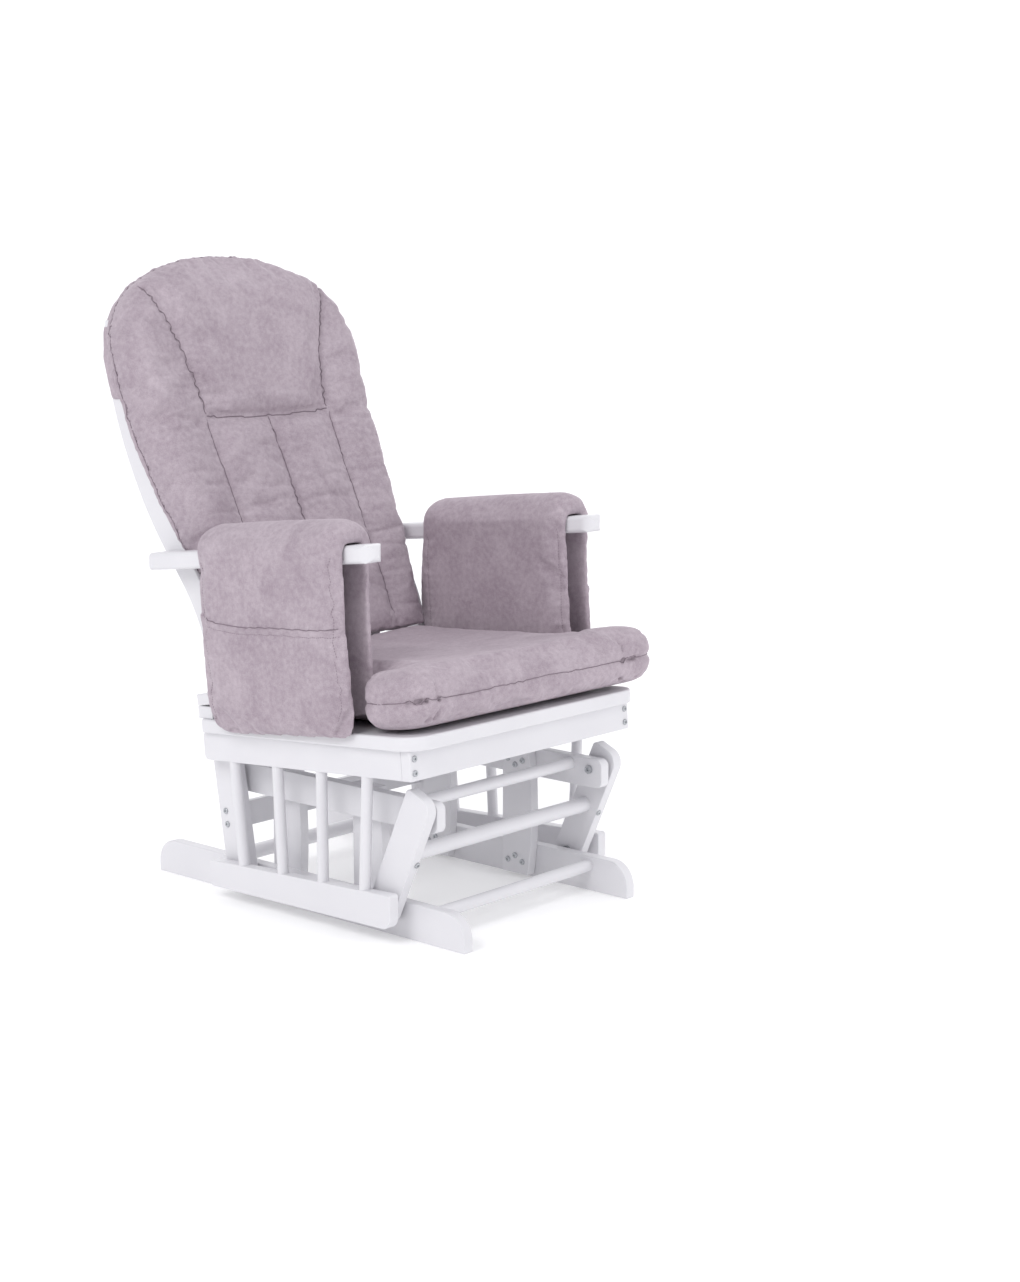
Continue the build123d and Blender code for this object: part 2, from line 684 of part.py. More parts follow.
print("overall", [round(size, 1) for size in whole.size], "nodes", len(pieces), "shift", round(-middle_y, 4))
for name, (y, z) in (("front_pivot", front_pivot), ("rear_pivot", rear_pivot), ("front_foot", front_foot),
                     ("rear_foot", rear_foot), ("hinge", hinge), ("lock_pin", lock_pin)):
    print(name, round(y - middle_y, 4), round(z, 4))
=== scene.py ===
import json
import math

import bmesh
import bpy
import numpy as np
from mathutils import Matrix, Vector
from mathutils.bvhtree import BVHTree


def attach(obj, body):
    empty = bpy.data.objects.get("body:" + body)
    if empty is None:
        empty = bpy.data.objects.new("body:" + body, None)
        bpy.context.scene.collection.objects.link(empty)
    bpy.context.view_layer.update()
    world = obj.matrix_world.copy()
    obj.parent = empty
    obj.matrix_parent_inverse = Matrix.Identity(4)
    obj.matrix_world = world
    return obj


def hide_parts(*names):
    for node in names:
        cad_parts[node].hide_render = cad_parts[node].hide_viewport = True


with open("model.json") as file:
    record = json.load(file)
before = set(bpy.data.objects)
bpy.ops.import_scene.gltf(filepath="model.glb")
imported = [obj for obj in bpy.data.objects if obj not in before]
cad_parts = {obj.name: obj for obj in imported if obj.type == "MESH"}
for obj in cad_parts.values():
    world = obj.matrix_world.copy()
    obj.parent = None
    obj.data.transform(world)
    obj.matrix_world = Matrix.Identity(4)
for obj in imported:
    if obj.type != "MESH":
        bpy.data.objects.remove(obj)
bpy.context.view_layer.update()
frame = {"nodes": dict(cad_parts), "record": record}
nodes = frame["nodes"]
scene = bpy.context.scene


# ---- camera ------------------------------------------------------------------------------------
# A long lens at standing height, off the chair's front right corner. The sweep behind the chair
# stands square to its heading.
heading = math.radians(-48.479)
down = math.radians(9.766)
eye = bpy.data.cameras.new("camera")
eye.sensor_fit = "VERTICAL"
eye.sensor_height = 36.0
eye.lens = 61.765
camera = bpy.data.objects.new("camera", eye)
camera.location = (-2.53399, -2.55441, 1.02370)
camera.rotation_euler = (math.pi / 2 - down, 0, heading)
scene.collection.objects.link(camera)
scene.camera = camera
scene.view_settings.view_transform = "Standard"


# ---- studio ------------------------------------------------------------------------------------
# A white sweep that glows a little and three soft boxes: a wide one from the upper left, a fill from
# the right and a weak one behind, so that the white wood keeps pale grey shade sides.
def linear(colour):
    """An sRGB hex colour as linear RGBA."""
    values = [int(colour[i:i + 2], 16) / 255 for i in (1, 3, 5)]
    return [v / 12.92 if v <= 0.04045 else ((v + 0.055) / 1.055) ** 2.4 for v in values] + [1.0]


def node(tree, kind, settings=None, **links):
    """Add a node, set its properties and sockets, and link what is given as a socket."""
    made = tree.nodes.new(kind)
    for name, value in (settings or {}).items():
        setattr(made, name, value)
    for name, value in links.items():
        key = int(name[1:]) if name[0] == "i" and name[1:].isdigit() else name.replace("_", " ")
        socket = made.inputs[key]
        if isinstance(value, bpy.types.NodeSocket):
            tree.links.new(value, socket)
        else:
            socket.default_value = value
    return made


def new_material(name, colour, roughness):
    material = bpy.data.materials.new(name)
    material.use_nodes = True
    tree = material.node_tree
    shader = tree.nodes["Principled BSDF"]
    shader.inputs["Base Color"].default_value = linear(colour)
    shader.inputs["Roughness"].default_value = roughness
    return material, tree, shader


backdrop, tree, shader = new_material("matt white studio sweep", "#f4f4f4", 0.9)
shader.inputs["Emission Color"].default_value = linear("#ffffff")
shader.inputs["Emission Strength"].default_value = 0.20
points, faces = [], []
sweep_flat, sweep_bend = 2.2, 1.2
profile = [(-6, 0), (sweep_flat, 0)]
profile += [(sweep_flat + math.sin(a) * sweep_bend, sweep_bend - math.cos(a) * sweep_bend)
            for a in np.linspace(0.1, math.pi / 2, 14)]
profile += [(sweep_flat + sweep_bend, 7)]
sideways = np.array((math.cos(heading), math.sin(heading)))
away = np.array((-math.sin(heading), math.cos(heading)))
for along, up in profile:
    for side in (-9, 9):
        points.append((*(side * sideways + along * away), up))
for i in range(len(profile) - 1):
    faces.append((2 * i, 2 * i + 1, 2 * i + 3, 2 * i + 2))
mesh = bpy.data.meshes.new("studio_sweep")
mesh.from_pydata(points, [], faces)
mesh.shade_smooth()
mesh.materials.append(backdrop)
sweep = bpy.data.objects.new("studio_sweep", mesh)
scene.collection.objects.link(sweep)

world = bpy.data.worlds.new("studio")
world.use_nodes = True
world.node_tree.nodes["Background"].inputs["Color"].default_value = linear("#fbfbff")
world.node_tree.nodes["Background"].inputs["Strength"].default_value = 0.70
scene.world = world
for name, power, size, place in (("key", 74, 2.2, (-3.6, -0.6, 3.4)), ("fill", 44, 3.0, (1.2, -3.8, 2.4)),
                                 ("rim", 20, 2.0, (2.4, 2.0, 3.2))):
    lamp = bpy.data.lights.new(name, "AREA")
    lamp.energy = power
    lamp.size = size
    box = bpy.data.objects.new(name, lamp)
    box.location = place
    box.rotation_euler = (Vector((0, 0, 0.5)) - box.location).to_track_quat("-Z", "Y").to_euler()
    scene.collection.objects.link(box)


# ---- white lacquered boards, bars and spindles --------------------------------------------------
# Beech sprayed with white satin lacquer: the grain only shows as faint long ripples, the film has a
# fine orange peel, and its gloss varies a little where it was rubbed down.
lacquer, tree, shader = new_material("white satin lacquer on beech", "#e0dfe2", 0.36)
place = node(tree, "ShaderNodeTexCoord").outputs["Object"]
cloud = node(tree, "ShaderNodeTexNoise", Vector=place, Scale=9.0, Detail=3.0).outputs["Fac"]
tint = node(tree, "ShaderNodeMix", {"data_type": "RGBA"}, i0=cloud,
            i6=linear("#dbdade"), i7=linear("#e4e3e6"))
tree.links.new(tint.outputs[2], shader.inputs["Base Color"])
gloss = node(tree, "ShaderNodeMapRange", Value=cloud, From_Min=0.3, From_Max=0.7,
             To_Min=0.31, To_Max=0.42)
tree.links.new(gloss.outputs["Result"], shader.inputs["Roughness"])
grain = node(tree, "ShaderNodeMapping", Vector=place, Scale=(260.0, 40.0, 40.0)).outputs["Vector"]
ripple = node(tree, "ShaderNodeTexNoise", Vector=grain, Scale=1.0, Detail=2.0).outputs["Fac"]
peel = node(tree, "ShaderNodeTexNoise", Vector=place, Scale=650.0, Detail=1.0).outputs["Fac"]
under = node(tree, "ShaderNodeBump", Strength=0.10, Distance=0.0004, Height=ripple).outputs["Normal"]
skin = node(tree, "ShaderNodeBump", Strength=0.12, Distance=0.0002, Height=peel, Normal=under)
skin = skin.outputs["Normal"]
tree.links.new(skin, shader.inputs["Normal"])


# ---- bolts, screws, bearings and hinges ---------------------------------------------------------
# Zinc plated steel, turned or pressed, holding the boards and the swing arms together. The plating
# is bright, slightly blue and a little cloudy.
zinc, tree, shader = new_material("zinc plated steel", "#b9bcc0", 0.32)
shader.inputs["Metallic"].default_value = 1.0
place = node(tree, "ShaderNodeTexCoord").outputs["Object"]
cloud = node(tree, "ShaderNodeTexNoise", Vector=place, Scale=420.0, Detail=2.0).outputs["Fac"]
gloss = node(tree, "ShaderNodeMapRange", Value=cloud, From_Min=0.3, From_Max=0.7,
             To_Min=0.24, To_Max=0.42)
tree.links.new(gloss.outputs["Result"], shader.inputs["Roughness"])
tint = node(tree, "ShaderNodeMix", {"data_type": "RGBA"}, i0=cloud,
            i6=linear("#a9adb3"), i7=linear("#c9cacb"))
tree.links.new(tint.outputs[2], shader.inputs["Base Color"])


# ---- bushings and lock pins ---------------------------------------------------------------------
# Bushings round the swing arms' lower bolts, and the pins that lock the recline, in moulded natural
# nylon. It looks off-white and waxy, with a faint moulded texture.
nylon, tree, shader = new_material("moulded natural nylon", "#dedbd4", 0.45)
shader.inputs["Subsurface Weight"].default_value = 0.1
shader.inputs["Subsurface Radius"].default_value = (0.002, 0.0018, 0.0015)
place = node(tree, "ShaderNodeTexCoord").outputs["Object"]
cloud = node(tree, "ShaderNodeTexNoise", Vector=place, Scale=900.0, Detail=1.0).outputs["Fac"]
mould = node(tree, "ShaderNodeBump", Strength=0.15, Distance=0.0002, Height=cloud).outputs["Normal"]
tree.links.new(mould, shader.inputs["Normal"])

finishes = {"white_wood": lacquer, "steel": zinc, "nylon": nylon}
for part in frame["record"]["subparts"]:
    finish = finishes.get(part["material_slot"])
    piece = nodes[part["node"]]
    if finish:
        piece.data.materials.clear()
        piece.data.materials.append(finish)


# ---- seat cushion -------------------------------------------------------------------------------
# Two panels of brushed microfibre sewn round a thick foam and fibre pad. The seam runs round the
# cushion's middle and gathers at the front corners; wings reach out in front of the arm pads.
suede, tree, shader = new_material("brushed microfibre suede", "#aea1aa", 0.92)
place = node(tree, "ShaderNodeTexCoord").outputs["Object"]
# brushing marks a hand wide, over a mottled nap of about 8 mm and fibre tufts drawn 1.5 mm wide
marks = node(tree, "ShaderNodeTexNoise", Vector=place, Scale=11.0, Detail=3.0, Distortion=1.2).outputs["Fac"]
nap = node(tree, "ShaderNodeTexNoise", Vector=place, Scale=120.0, Detail=3.0).outputs["Fac"]
tufts = node(tree, "ShaderNodeTexNoise", Vector=place, Scale=650.0, Detail=2.0).outputs["Fac"]
height = node(tree, "ShaderNodeMath", {"operation": "MULTIPLY_ADD"}, i0=nap, i1=0.9, i2=marks).outputs[0]
height = node(tree, "ShaderNodeMath", {"operation": "MULTIPLY_ADD"}, i0=tufts, i1=0.9, i2=height).outputs[0]
level = node(tree, "ShaderNodeMapRange", Value=height, From_Min=1.0, From_Max=1.8).outputs["Result"]
tint = node(tree, "ShaderNodeMix", {"data_type": "RGBA"}, i0=level,
            i6=linear("#9b8d97"), i7=linear("#bcb0b8"))
tree.links.new(tint.outputs[2], shader.inputs["Base Color"])
shader.inputs["Sheen Weight"].default_value = 0.35
shader.inputs["Sheen Roughness"].default_value = 0.45
shader.inputs["Sheen Tint"].default_value = linear("#e6dfe4")
shader.inputs["Specular IOR Level"].default_value = 0.2
coarse = node(tree, "ShaderNodeBump", Strength=0.35, Distance=0.0012, Height=nap).outputs["Normal"]
fine = node(tree, "ShaderNodeBump", Strength=0.4, Distance=0.0005, Height=tufts, Normal=coarse)
fine = fine.outputs["Normal"]
tree.links.new(fine, shader.inputs["Normal"])

# Darker than the cloth: on the stitch rows this is the yarn's own tone, and on the seam cords it is painted
# shade, standing for the shade in each seam's crease and in the pocket's opening.
thread_and_seam_shade, tree, shader = new_material("polyester sewing yarn, darkened as painted seam shade", "#7d7079", 0.7)
place = node(tree, "ShaderNodeTexCoord").outputs["Object"]
twist = node(tree, "ShaderNodeTexWave", Vector=place, Scale=500.0).outputs["Fac"]
laid = node(tree, "ShaderNodeBump", Strength=0.3, Distance=0.0002, Height=twist).outputs["Normal"]
tree.links.new(laid, shader.inputs["Normal"])


def add_mesh(name, points, faces, finish):
    mesh = bpy.data.meshes.new(name)
    mesh.from_pydata([tuple(p) for p in points], [], [tuple(f) for f in faces])
    mesh.update()
    made = bpy.data.objects.new(name, mesh)
    mesh.materials.append(finish)
    scene.collection.objects.link(made)
    return made


def points_of(piece):
    flat = np.empty(len(piece.data.vertices) * 3)
    piece.data.vertices.foreach_get("co", flat)
    return flat.reshape(-1, 3)


def normals_of(piece):
    flat = np.empty(len(piece.data.vertices) * 3)
    piece.data.vertex_normals.foreach_get("vector", flat)
    return flat.reshape(-1, 3)


def move_points(piece, points):
    piece.data.vertices.foreach_set("co", np.asarray(points, float).ravel())
    piece.data.update()


def face_outward(piece):
    """Turn all faces so that they look out of a closed skin."""
    shell = bmesh.new()
    shell.from_mesh(piece.data)
    bmesh.ops.recalc_face_normals(shell, faces=shell.faces)
    shell.to_mesh(piece.data)
    shell.free()


def settle(piece):
    """Make what the piece's modifiers give its own mesh."""
    shape = piece.evaluated_get(bpy.context.evaluated_depsgraph_get())
    piece.data = bpy.data.meshes.new_from_object(shape)
    piece.modifiers.clear()


def knit(piece, size):
    """Remake the piece's skin as even cells of that size, and ease their steps out."""
    remesh = piece.modifiers.new("even cells", "REMESH")
    remesh.mode = "VOXEL"
    remesh.voxel_size = size
    ease = piece.modifiers.new("ease", "SMOOTH")
    ease.factor = 0.5
    ease.iterations = 4
    settle(piece)


def stuff(piece, held, pressure, reach, slack):
    """Fill the cover with air pressure as a cloth; held is 1 where sewn or resting, 0 where free."""
    start = points_of(piece)
    group = piece.vertex_groups.new(name="held")
    steps = np.round(np.clip(held, 0, 1) * 20).astype(int)
    for step in range(1, 21):
        group.add(np.nonzero(steps == step)[0].tolist(), step / 20, "REPLACE")
    cloth = piece.modifiers.new("cover", "CLOTH")
    cover = cloth.settings
    cover.quality = 5
    cover.mass = 0.25
    cover.tension_stiffness = cover.compression_stiffness = 14
    cover.shear_stiffness = 5
    cover.bending_stiffness = 0.35
    cover.use_pressure = True
    cover.uniform_pressure_force = pressure
    cover.vertex_group_mass = "held"
    cover.shrink_min = -slack
    cover.effector_weights.gravity = 0
    cloth.point_cache.frame_start = 1
    cloth.point_cache.frame_end = 20
    for moment in range(1, 21):
        scene.frame_set(moment)
    shape = piece.evaluated_get(bpy.context.evaluated_depsgraph_get())
    flat = np.empty(len(shape.data.vertices) * 3)
    shape.data.vertices.foreach_get("co", flat)
    moved = flat.reshape(-1, 3) - start
    piece.modifiers.clear()
    piece.vertex_groups.clear()
    scene.frame_set(1)
    far = np.linalg.norm(moved, axis=1, keepdims=True)
    move_points(piece, start + moved * np.minimum(1, reach / np.maximum(far, 1e-9)))
    finer = piece.modifiers.new("finer", "SUBSURF")
    finer.levels = finer.render_levels = 1
    settle(piece)
    piece.data.shade_smooth()


def along_line(points, step=0.002):
    """Points every step along a run of points."""
    points = np.asarray(points, float)
    runs = np.linalg.norm(np.diff(points, axis=0), axis=1)
    at = np.concatenate([[0], np.cumsum(runs)])
    wanted = np.linspace(0, at[-1], max(2, int(at[-1] / step)))
    return np.stack([np.interp(wanted, at, points[:, k]) for k in range(3)], axis=1)


def smooth_line(points, step=0.002):
    """A smooth curve through a few points."""
    points = np.asarray(points, float)
    fine = np.linspace(0, len(points) - 1, 40 * len(points))
    if len(points) < 3:
        return along_line(points, step)
    result = []
    for f in fine:
        i = min(int(f), len(points) - 2)
        t = f - i
        p0, p1, p2, p3 = points[max(i - 1, 0)], points[i], points[i + 1], points[min(i + 2, len(points) - 1)]
        result.append(0.5 * ((2 * p1) + (p2 - p0) * t + (2 * p0 - 5 * p1 + 4 * p2 - p3) * t ** 2
                             + (3 * p1 - p0 - 3 * p2 + p3) * t ** 3))
    return along_line(result, step)


def on_cover(piece, line, toward=None):
    """Lay a line on the piece's skin: nearest point, or first met going along a direction."""
    mesh = piece.data
    tree = BVHTree.FromPolygons([v.co for v in mesh.vertices], [p.vertices for p in mesh.polygons])
    laid = []
    for p in line:
        if toward is None:
            hit = tree.find_nearest(Vector(p))
        else:
            hit = tree.ray_cast(Vector(p), Vector(toward))
        if hit[0] is not None:
            laid.append(tuple(hit[0]))
    return np.array(laid)


def sew(piece, line, depth, width, pucker=0.0, reach=0.03, seed=0.0):
    """Pull the cover in along a sewn line, with small gathers across it on both sides."""
    points = points_of(piece)
    normals = normals_of(piece)
    low = line.min(0) - reach
    high = line.max(0) + reach
    near = np.nonzero(((points > low) & (points < high)).all(1))[0]
    gap = np.empty(len(near))
    where = np.empty(len(near), int)
    for start in range(0, len(near), 4000):
        some = near[start:start + 4000]
        d = np.linalg.norm(points[some][:, None] - line[None], axis=2)
        gap[start:start + 4000] = d.min(1)
        where[start:start + 4000] = d.argmin(1)
    run = np.concatenate([[0], np.cumsum(np.linalg.norm(np.diff(line, axis=0), axis=1))])[where]
    wave = np.sin(run * 2 * math.pi / 0.017 + seed) + 0.7 * np.sin(run * 2 * math.pi / 0.029 + 2.1 * seed + 1)
    wave = wave + 0.5 * np.sin(run * 2 * math.pi / 0.0107 + 3.3 * seed)
    ends = np.minimum(1, np.minimum(run, run.max() - run) / 0.012) if run.max() > 0.05 else 1.0
    push = -depth * np.exp(-(gap / width) ** 2) * np.clip(ends, 0.15, 1)
    push += pucker * wave * np.exp(-gap / (reach * 0.35)) * np.minimum(1, gap / width)
    points[near] += normals[near] * push[:, None]
    move_points(piece, points)


def seam(name, piece, line, radius=0.0008):
    """The closed seam itself: a thin rounded cord of stitching and folded cloth lying in the groove, in the
    darker stitching tone, so that it also paints the shade of the seam's crease as a fine dark line.
    """
    line = on_cover(piece, line)
    curve = bpy.data.curves.new(name, "CURVE")
    curve.dimensions = "3D"
    curve.bevel_depth = radius
    curve.bevel_resolution = 1
    spline = curve.splines.new("POLY")
    spline.points.add(len(line[::3]) - 1)
    for point, p in zip(spline.points, line[::3]):
        point.co = (*p, 1)
    # the darker tone here is painted shade in the seam's crease
    curve.materials.append(thread_and_seam_shade)
    holder = bpy.data.objects.new(name, curve)
    scene.collection.objects.link(holder)
    shape = bpy.data.meshes.new_from_object(holder.evaluated_get(bpy.context.evaluated_depsgraph_get()))
    bpy.data.objects.remove(holder)
    made = bpy.data.objects.new(name, shape)
    scene.collection.objects.link(made)
    shape.shade_smooth()
    return made


def stitch_tree():
    """Geometry Nodes: stitches of a given length and pitch laid end to end along a line."""
    tree = bpy.data.node_groups.new("stitches", "GeometryNodeTree")
    tree.interface.new_socket("Line", in_out="INPUT", socket_type="NodeSocketGeometry")
    for name, value in (("Pitch", 0.004), ("Length", 0.0028), ("Thickness", 0.0006)):
        socket = tree.interface.new_socket(name, in_out="INPUT", socket_type="NodeSocketFloat")
        socket.default_value = value
    tree.interface.new_socket("Stitches", in_out="OUTPUT", socket_type="NodeSocketGeometry")
    given = tree.nodes.new("NodeGroupInput").outputs
    curve = node(tree, "GeometryNodeMeshToCurve", Mesh=given["Line"]).outputs["Curve"]
    spots = node(tree, "GeometryNodeCurveToPoints", {"mode": "LENGTH"}, Curve=curve, Length=given["Pitch"])
    bead = node(tree, "GeometryNodeMeshUVSphere", Segments=8, Rings=5, Radius=0.5).outputs["Mesh"]
    size = node(tree, "ShaderNodeCombineXYZ", X=given["Thickness"], Y=given["Thickness"], Z=given["Length"])
    laid = node(tree, "GeometryNodeInstanceOnPoints", Points=spots.outputs["Points"], Instance=bead,
                Rotation=spots.outputs["Rotation"], Scale=size.outputs["Vector"]).outputs["Instances"]
    real = node(tree, "GeometryNodeRealizeInstances", Geometry=laid).outputs["Geometry"]
    shaded = node(tree, "GeometryNodeSetShadeSmooth", Geometry=real).outputs["Geometry"]
    done = node(tree, "GeometryNodeSetMaterial", Geometry=shaded, Material=thread_and_seam_shade).outputs["Geometry"]
    out = tree.nodes.new("NodeGroupOutput")
    tree.links.new(done, out.inputs["Stitches"])
    return tree


stitches = stitch_tree()


def topstitch(name, piece, lines, pitch=0.0045, length=0.0032, thickness=0.0009):
    """Rows of stitches laid on the piece's skin."""
    points, edges = [], []
    for line in lines:
        laid = on_cover(piece, line)
        edges += [(len(points) + i, len(points) + i + 1) for i in range(len(laid) - 1)]
        points += [tuple(p) for p in laid]
    mesh = bpy.data.meshes.new(name)
    mesh.from_pydata(points, edges, [])
    made = bpy.data.objects.new(name, mesh)
    scene.collection.objects.link(made)
    rows = made.modifiers.new("rows", "NODES")
    rows.node_group = stitches
    for item in stitches.interface.items_tree:
        if item.in_out == "INPUT" and item.name in ("Pitch", "Length", "Thickness"):
            rows[item.identifier] = {"Pitch": pitch, "Length": length, "Thickness": thickness}[item.name]
    settle(made)
    return made


seat_tilt = math.radians(4.3)
seat_origin = np.array((0.0, -0.359, 0.335))
seat_axes = np.array(((1, 0, 0), (0, math.cos(seat_tilt), -math.sin(seat_tilt)),
                      (0, math.sin(seat_tilt), math.cos(seat_tilt))))


def rounded(corners):
    """A closed outline from (x, y, radius) corners, as points about 6 mm apart."""
    outline = []
    count = len(corners)
    for i, (x, y, radius) in enumerate(corners):
        here = np.array((x, y))
        back = np.array(corners[i - 1][:2]) - here
        ahead = np.array(corners[(i + 1) % count][:2]) - here
        back = back / np.linalg.norm(back)
        ahead = ahead / np.linalg.norm(ahead)
        start, end = here + back * radius, here + ahead * radius
        for t in np.linspace(0, 1, max(3, int(radius / 0.005))):
            outline.append((1 - t) ** 2 * start + 2 * t * (1 - t) * here + t * t * end)
    closed = np.array(outline + [outline[0]])
    closed = np.concatenate([closed, np.zeros((len(closed), 1))], axis=1)
    return along_line(closed, 0.006)[:-1, :2]


def slab(name, outline, thick, finish):
    count = len(outline)
    points = [(x, y, 0.0) for x, y in outline] + [(x, y, thick) for x, y in outline]
    faces = [tuple(range(count))[::-1], tuple(range(count, 2 * count))]
    faces += [(i, (i + 1) % count, count + (i + 1) % count, count + i) for i in range(count)]
    return add_mesh(name, points, faces, finish)


def round_over(points, outline, thick, depth, power):
    """Turn a slab's square edges into the rounded edge of a filled cushion."""
    nearest = np.empty(len(points), int)
    for start in range(0, len(points), 4000):
        d = np.linalg.norm(points[start:start + 4000, None, :2] - outline[None], axis=2)
        nearest[start:start + 4000] = d.argmin(1)
    edge = np.roll(outline, -1, 0) - np.roll(outline, 1, 0)
    inward = np.stack([-edge[:, 1], edge[:, 0]], axis=1)
    inward /= np.linalg.norm(inward, axis=1, keepdims=True)
    foot = outline[nearest]
    way = inward[nearest]
    gap = ((points[:, :2] - foot) * way).sum(1)
    a = np.clip((depth - gap) / depth, 0, 1)
    b = (points[:, 2] - thick / 2) / (thick / 2)
    most = np.maximum(a, np.abs(b))
    scale = most / np.maximum((a ** power + np.abs(b) ** power) ** (1 / power), 1e-9)
    done = points.copy()
    done[:, :2] += way * ((a - a * scale) * depth)[:, None]
    done[:, 2] = thick / 2 + b * scale * thick / 2
    return done


wing_left, wing_right, waist, tail = 0.314, 0.274, 0.2155, 0.212
seat_plan = rounded([(-wing_right, -0.008, 0.070), (wing_left, -0.014, 0.062), (wing_left, 0.106, 0.045),
                     (waist, 0.112, 0.012), (tail, 0.446, 0.035), (-tail, 0.446, 0.035),
                     (-waist, 0.112, 0.012), (-wing_right, 0.106, 0.03)])
seat_thick = 0.088
seat = slab("seat_cushion_cover", seat_plan, seat_thick, suede)
knit(seat, 0.0055)
local = round_over(points_of(seat), seat_plan, seat_thick, 0.046, 2.7)
top = np.clip(local[:, 2] / seat_thick, 0, 1)
middle = np.clip(1 - (local[:, 0] / 0.26) ** 2, 0, 1)
middle = middle * np.clip(1 - ((local[:, 1] - 0.2) / 0.27) ** 2, 0, 1)
local[:, 2] += top * (0.004 - 0.010 * middle)
front_reach, front_lift = 0.11, 0.007
lift = np.clip(1 - local[:, 1] / front_reach, 0, 1) ** 2 * front_lift
local[:, 2] += lift * (1 - 0.6 * top)
seat_mid = 0.044
side = np.abs(local[:, 2] - lift - seat_mid) < 0.004
edge_gap = np.min([np.linalg.norm(local[:, :2] - p, axis=1) for p in seat_plan[::2]], axis=0)
held = np.where(side & (edge_gap < 0.012), 1.0, 0.0)
held = np.maximum(held, np.where(local[:, 2] < 0.010, 1.0, 0.0))
deck_gap = 0.0035
local[:, 2] += deck_gap
move_points(seat, seat_origin + local @ seat_axes)
stuff(seat, held, 3.0, 0.008, 0.02)

seam_line = np.concatenate([seat_plan, seat_plan[:1]])
rise = np.clip(1 - seam_line[:, 1] / front_reach, 0, 1) ** 2 * front_lift * 0.7
seam_line = np.concatenate([seam_line, (seat_mid + deck_gap + rise)[:, None]], axis=1)
seam_line = on_cover(seat, along_line(seat_origin + seam_line @ seat_axes, 0.003))
sew(seat, seam_line, 0.0035, 0.005, 0.0006, 0.03)
# gathers at the two front corners, where the panels are eased round the bend
for side in (-1, 1):
    for across, along, up, length, turn in (
            (0.215, 0.004, 0.060, 0.020, 1.25), (0.236, 0.014, 0.052, 0.018, 0.35),
            (0.245, 0.022, 0.045, 0.020, -0.3), (0.214, 0.006, 0.036, 0.022, -1.2),
            (0.232, 0.012, 0.060, 0.016, 0.9), (0.225, 0.008, 0.028, 0.018, -0.9)):
        step = np.array((side * math.cos(turn) * length / 2, 0, math.sin(turn) * length / 2))
        spot = np.array((side * across, along, up))
        fold = np.stack([spot - step, spot, spot + step])
        fold = on_cover(seat, along_line(seat_origin + fold @ seat_axes, 0.001))
        sew(seat, fold, 0.0038, 0.0028, 0, 0.01)
seat_seam = seam("seat_cushion_seam", seat, seam_line, 0.0007)
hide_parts("seat_cushion")
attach(seat, "seat")
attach(seat_seam, "seat")


# ---- arm pads -----------------------------------------------------------------------------------
# Quilted covers that hang over the arm bars, thick on top and flat down both sides, sewn all round.
# The outside flap carries a pocket with a double-stitched hem.
bar_tilt = math.radians(6.3)
bar_origin = np.array((0.0, -0.047, 0.590))
bar_axes = np.array(((1, 0, 0), (0, math.cos(bar_tilt), -math.sin(bar_tilt)),
                     (0, math.sin(bar_tilt), math.cos(bar_tilt))))


def ease(t):
    t = np.clip(t, 0, 1)
    return t * t * (3 - 2 * t)


# lining of the cover seen from the front, from the outside hem over the bar to the inside hem:
# across, up and the padding's thickness there
lining = np.array(((0.2735, -0.290, 0.0125), (0.2760, -0.200, 0.0150), (0.2782, -0.110, 0.0170),
                   (0.2785, -0.040, 0.0200), (0.2775, -0.008, 0.0240), (0.2735, 0.0015, 0.0310),
                   (0.2565, 0.0025, 0.0370), (0.2400, 0.0015, 0.0310), (0.2355, -0.008, 0.0200),
                   (0.2350, -0.040, 0.0150), (0.2358, -0.130, 0.0140), (0.2370, -0.262, 0.0120)))
path = smooth_line(lining, 0.004)
runs = np.concatenate([[0], np.cumsum(np.linalg.norm(np.diff(path[:, :2], axis=0), axis=1))])
lean = np.gradient(path[:, :2], axis=0)
lean /= np.linalg.norm(lean, axis=1, keepdims=True)
outward = np.stack([lean[:, 1], -lean[:, 0]], axis=1)
bar_middle = 0.2565
outside_hem, inside_hem = -0.290, -0.262
pad_front, pad_rear = -0.184, 0.137
hem_corner = 0.045
edge_roll, hem_roll, edge_thick = 0.030, 0.018, 0.0045
depth_steps = 72
grid_out, grid_in = [], []
for (across, up, thick), n, run in zip(path, outward, runs):
    slip = up * math.tan(bar_tilt)
    belly = math.sin(math.pi * np.clip(-up / 0.27, 0, 1))
    inside = across < bar_middle
    front = pad_front + 0.070 * up - slip + 0.004 * belly
    rear = pad_rear + 0.060 * up - slip + (0.020 if inside else 0.004) * belly
    hem = outside_hem if across > bar_middle else inside_hem
    low = max(0.0, (hem + hem_corner) - up) if run < 0.06 or run > runs[-1] - 0.06 else 0.0
    cut = hem_corner - math.sqrt(max(0.0, hem_corner ** 2 - low ** 2)) if low > 0 else 0.0
    row_out, row_in = [], []
    for j in range(depth_steps + 1):
        t = 0.5 - 0.5 * math.cos(math.pi * j / depth_steps)
        t = 0.35 * t + 0.65 * j / depth_steps
        along = front + cut * 0.5 + (rear - cut - front - cut * 0.5) * t
        edge = min(along - front - cut * 0.5, rear - cut - along)
        fall = math.sqrt(max(0.0, 1 - (1 - min(edge / edge_roll, 1)) ** 2))
        hem_edge = min(run, runs[-1] - run)
        fall *= math.sqrt(max(0.0, 1 - (1 - min(hem_edge / hem_roll, 1)) ** 2))
        t_here = edge_thick + (thick - edge_thick) * fall
        row_in.append((across, along, up))
        row_out.append((across + n[0] * t_here, along, up + n[1] * t_here))
    grid_out.append(row_out)
    grid_in.append(row_in)
rows, columns = len(path), depth_steps + 1
points = [p for row in grid_out for p in row] + [p for row in grid_in for p in row]
